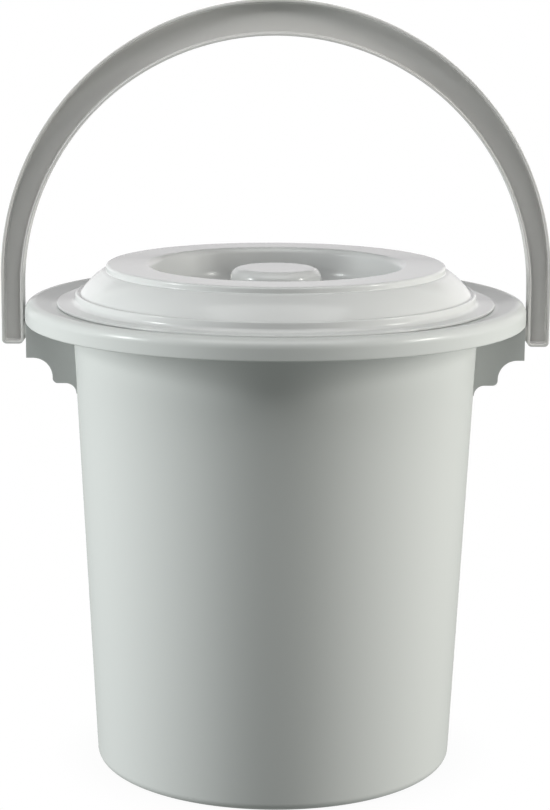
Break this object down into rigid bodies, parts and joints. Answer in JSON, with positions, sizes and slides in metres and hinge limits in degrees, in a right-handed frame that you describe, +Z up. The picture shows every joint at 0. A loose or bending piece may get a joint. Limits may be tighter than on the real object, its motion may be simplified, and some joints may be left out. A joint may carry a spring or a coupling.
{
  "type": "lidded bucket",
  "caption": "Tapered plastic bucket with a drooping rim, a domed lid with a sunk knob, and a swinging bail handle on two side brackets.",
  "frame": {"origin": "middle of the foot ring, on the surface the bucket stands on", "axes": "+Z up along the bucket's axis; X through the two handle pivots; Y from front to back"},
  "size_m": [0.3144, 0.287, 0.4418],
  "materials": {
    "bucket_plastic": "light grey polypropylene, satin with soft highlights",
    "lid_plastic": "light grey polypropylene, slightly translucent, satin",
    "handle_plastic": "light grey polypropylene, satin"
  },
  "bodies": {
    "bucket_body": {"bucket": "bucket_plastic"},
    "lid_body": {"lid": "lid_plastic"},
    "handle_body": {"handle": "handle_plastic"}
  },
  "joints": [
    {"name": "handle_swing", "type": "hinge", "parent": "bucket_body", "child": "handle_body", "pos_m": [0, 0, 0.2535], "axis": [1, 0, 0], "range_deg": [-135, 135]},
    {"name": "lid_lift", "type": "slide", "parent": "bucket_body", "child": "lid_body", "axis": [0, 0, 1], "range_m": [0, 0.06]}
  ]
}
